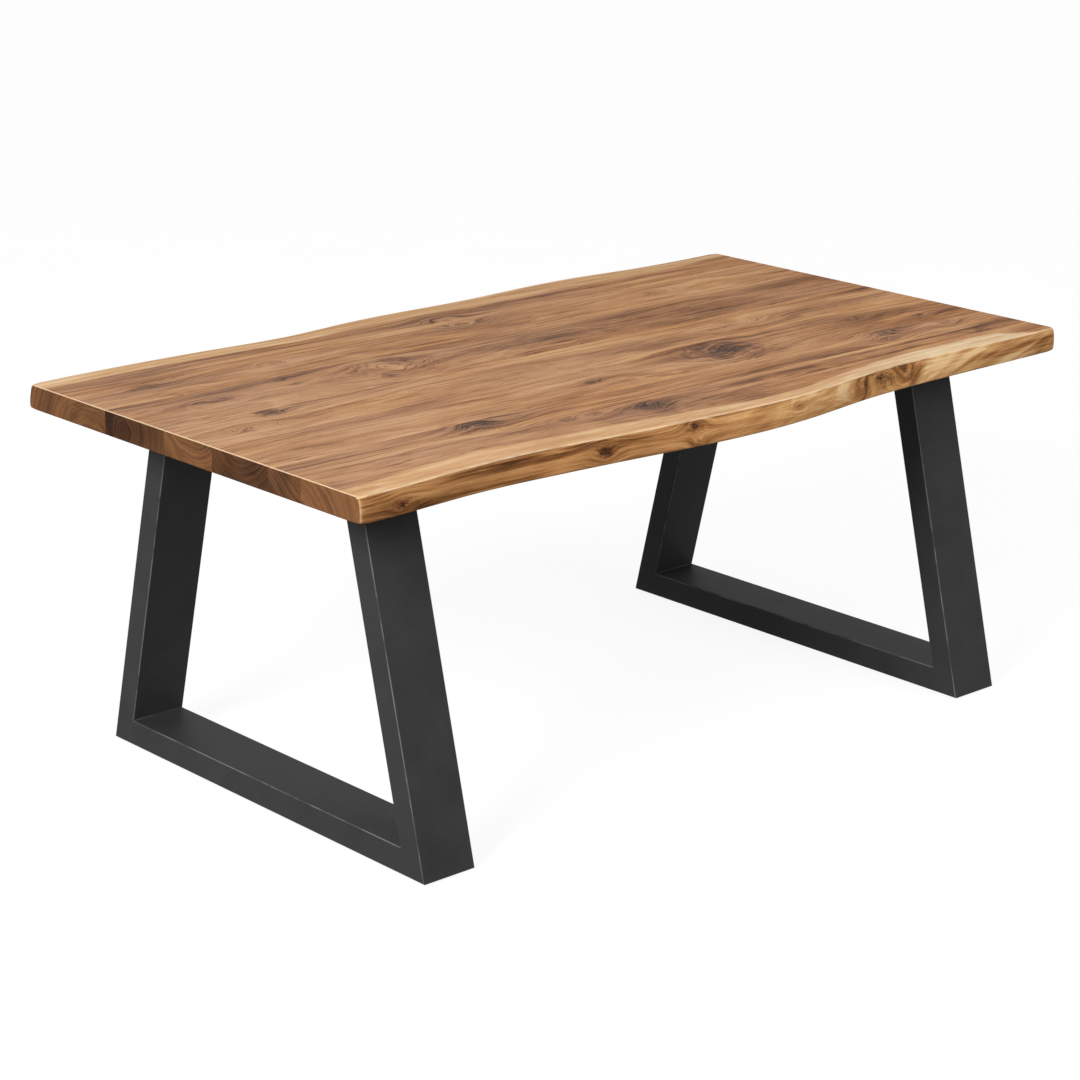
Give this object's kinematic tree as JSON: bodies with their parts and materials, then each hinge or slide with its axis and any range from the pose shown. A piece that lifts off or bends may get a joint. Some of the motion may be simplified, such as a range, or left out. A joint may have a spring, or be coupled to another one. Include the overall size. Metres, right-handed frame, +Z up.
{
  "type": "live edge dining table",
  "caption": "Dining table with a thick solid wood top of edge-glued boards, wavy live edges along both long sides, on trapezoid black steel tube leg frames.",
  "frame": {"origin": "on the floor, under the centre of the top", "axes": "+X along the length to the right, +Y to the back, +Z up"},
  "size_m": [1.86, 1.0674, 0.755],
  "materials": {
    "back_board_wood": "oiled, satin",
    "board_2_wood": "oiled, satin",
    "board_3_wood": "oiled, satin",
    "board_4_wood": "oiled, satin",
    "board_5_wood": "oiled, satin",
    "board_6_wood": "oiled, satin",
    "front_board_wood": "oiled, satin",
    "powder_coat": "fine satin powder coat",
    "glide_plastic": "matt moulded",
    "zinc_steel": "zinc plated"
  },
  "bodies": {
    "root": {"back_live_edge_board": "back_board_wood", "top_board_2": "board_2_wood", "top_board_3": "board_3_wood", "top_board_4": "board_4_wood", "top_board_5": "board_5_wood", "top_board_6": "board_6_wood", "front_live_edge_board": "front_board_wood", "left_base_bar": "powder_coat", "left_front_upright": "powder_coat", "left_back_upright": "powder_coat", "left_mounting_plate": "powder_coat", "left_plate_welds": "powder_coat", "left_front_glide": "glide_plastic", "left_back_glide": "glide_plastic", "right_base_bar": "powder_coat", "right_front_upright": "powder_coat", "right_back_upright": "powder_coat", "right_mounting_plate": "powder_coat", "right_plate_welds": "powder_coat", "right_front_glide": "glide_plastic", "right_back_glide": "glide_plastic", "frame_bolts": "zinc_steel", "frame_washers": "zinc_steel", "threaded_inserts": "zinc_steel"}
  },
  "joints": []
}
